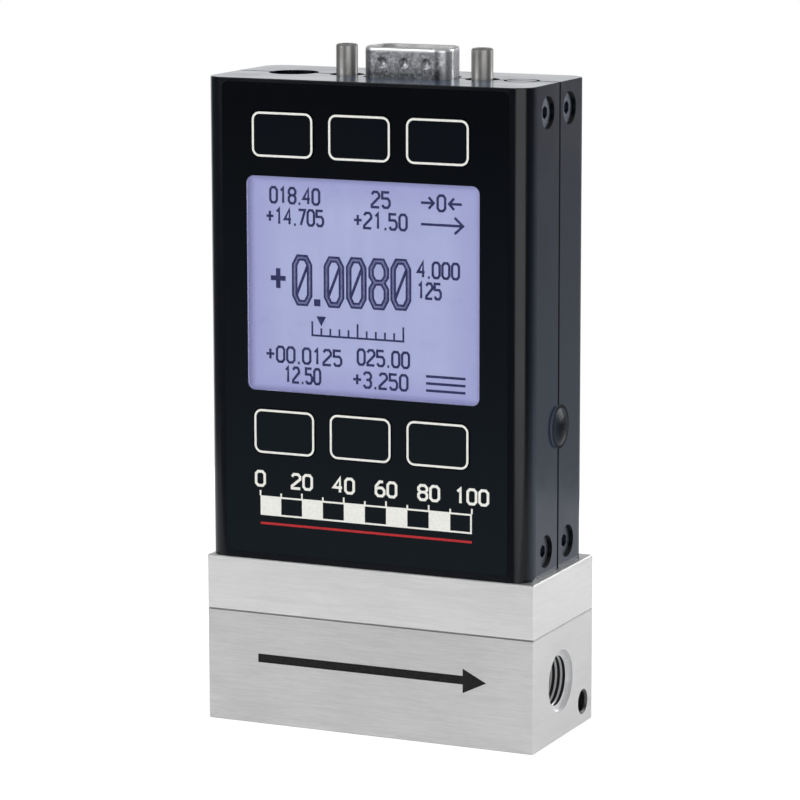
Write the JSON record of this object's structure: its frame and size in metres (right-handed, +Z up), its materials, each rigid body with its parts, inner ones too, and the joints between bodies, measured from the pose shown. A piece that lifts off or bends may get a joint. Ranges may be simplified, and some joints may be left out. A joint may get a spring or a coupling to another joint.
{
  "type": "mass flow calibrator",
  "caption": "Small in-line gas mass flow calibrator: two-piece steel flow body with threaded ports under a slim black display case with a lit screen, press keys and a data connector.",
  "frame": {"origin": "middle of the bottom face of the steel flow body", "axes": "+X along the gas flow from inlet to outlet, -Y out of the display, +Z up"},
  "size_m": [0.061, 0.0266, 0.1169],
  "materials": {
    "steel_lower": "finely brushed along the flow",
    "steel_upper": "finely brushed along the flow",
    "steel_inner": "plain turned stainless",
    "seal_rubber": "matt black seal rubber",
    "screw_steel": "plain steel screws inside",
    "screw_black": "black oxide",
    "sensor_plastic": "pale moulded plastic",
    "probe_metal": "thin drawn tube",
    "board_green": "green circuit board",
    "header_black": "moulded pin strip",
    "bracket_aluminium": "milled",
    "case_black": "semi-gloss black powder coat",
    "plug_black": "moulded black",
    "overlay_black": "smooth printed polyester",
    "window_clear": "clear polyester",
    "frame_metal": "pressed sheet",
    "display_lit": "lit display, pale violet",
    "backlight_white": "light guide",
    "key_black": "smooth black with a pale printed outline",
    "brass_spacer": "turned",
    "chip_black": "moulded chips",
    "connector_nickel": "nickel-plated pressed shell",
    "insert_black": "moulded insulator",
    "pin_gold": "gold-plated",
    "post_steel": "turned, nickel-plated",
    "jack_black": "moulded"
  },
  "bodies": {
    "root": {"flow_body": "steel_lower", "adapter_block": "steel_upper", "flow_element": "steel_inner", "element_retainers": "steel_inner", "tap_seals": "seal_rubber", "block_screws": "screw_steel", "differential_sensor": "sensor_plastic", "absolute_sensor": "sensor_plastic", "temperature_probe": "probe_metal", "sensor_seals": "seal_rubber", "sensor_board": "board_green", "sensor_header": "header_black", "left_case_mount": "bracket_aluminium", "right_case_mount": "bracket_aluminium", "mount_screws": "screw_steel", "top_bracket": "bracket_aluminium", "front_shell": "case_black", "rear_shell": "case_black", "side_screws": "screw_black", "side_hole_plug": "plug_black", "top_hole_plug": "plug_black", "front_overlay": "overlay_black", "display_window": "window_clear", "lcd_frame": "frame_metal", "lcd_glass": "display_lit", "backlight": "backlight_white", "display_board": "board_green", "display_screws": "screw_steel", "key_switches": "chip_black", "board_spacers": "brass_spacer", "main_board": "board_green", "board_screws": "screw_steel", "main_board_parts": "chip_black", "io_board": "board_green", "io_header": "header_black", "dsub_shell": "connector_nickel", "dsub_insert": "insert_black", "dsub_pins": "pin_gold", "jackscrews": "post_steel", "jackscrew_nuts": "screw_steel", "power_jack": "jack_black", "power_jack_pin": "connector_nickel"},
    "key_top_left": {"key_top_left": "key_black"},
    "key_top_middle": {"key_top_middle": "key_black"},
    "key_top_right": {"key_top_right": "key_black"},
    "key_bottom_left": {"key_bottom_left": "key_black"},
    "key_bottom_middle": {"key_bottom_middle": "key_black"},
    "key_bottom_right": {"key_bottom_right": "key_black"}
  },
  "joints": [
    {"name": "key_top_left_press", "type": "slide", "parent": "root", "child": "key_top_left", "axis": [0, 1, 0], "range_m": [0, 0.0004], "stiffness_N_per_m": 800, "springref_m": -0.001},
    {"name": "key_top_middle_press", "type": "slide", "parent": "root", "child": "key_top_middle", "axis": [0, 1, 0], "range_m": [0, 0.0004], "stiffness_N_per_m": 800, "springref_m": -0.001},
    {"name": "key_top_right_press", "type": "slide", "parent": "root", "child": "key_top_right", "axis": [0, 1, 0], "range_m": [0, 0.0004], "stiffness_N_per_m": 800, "springref_m": -0.001},
    {"name": "key_bottom_left_press", "type": "slide", "parent": "root", "child": "key_bottom_left", "axis": [0, 1, 0], "range_m": [0, 0.0004], "stiffness_N_per_m": 800, "springref_m": -0.001},
    {"name": "key_bottom_middle_press", "type": "slide", "parent": "root", "child": "key_bottom_middle", "axis": [0, 1, 0], "range_m": [0, 0.0004], "stiffness_N_per_m": 800, "springref_m": -0.001},
    {"name": "key_bottom_right_press", "type": "slide", "parent": "root", "child": "key_bottom_right", "axis": [0, 1, 0], "range_m": [0, 0.0004], "stiffness_N_per_m": 800, "springref_m": -0.001}
  ]
}
